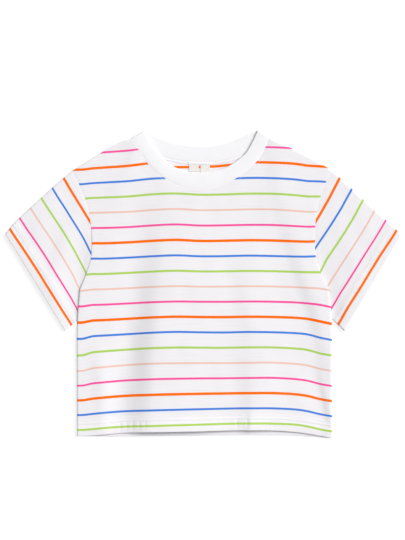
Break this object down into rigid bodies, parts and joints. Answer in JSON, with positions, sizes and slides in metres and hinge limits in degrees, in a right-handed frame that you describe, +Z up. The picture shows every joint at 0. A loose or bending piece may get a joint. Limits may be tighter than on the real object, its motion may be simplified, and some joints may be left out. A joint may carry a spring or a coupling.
{
  "type": "crop top",
  "caption": "Child's boxy cropped T-shirt in striped cotton jersey, laid flat on its back, with short sleeves and a ribbed neckband.",
  "frame": {"origin": "on the surface that the garment lies on, below the middle of its whole outline", "axes": "+X towards the wearer's left sleeve, along the span from cuff to cuff; +Y from hem to neck; +Z up, out of the front panel"},
  "size_m": [0.5548, 0.4316, 0.0059],
  "materials": {
    "striped_jersey": "matte",
    "rib_knit": "matte",
    "label_tape": "satin"
  },
  "bodies": {
    "root": {"front_panel": "striped_jersey", "back_panel": "striped_jersey", "sleeve_right": "striped_jersey", "sleeve_left": "striped_jersey", "neckband": "rib_knit", "label_right": "label_tape", "label_left": "label_tape"}
  },
  "joints": []
}
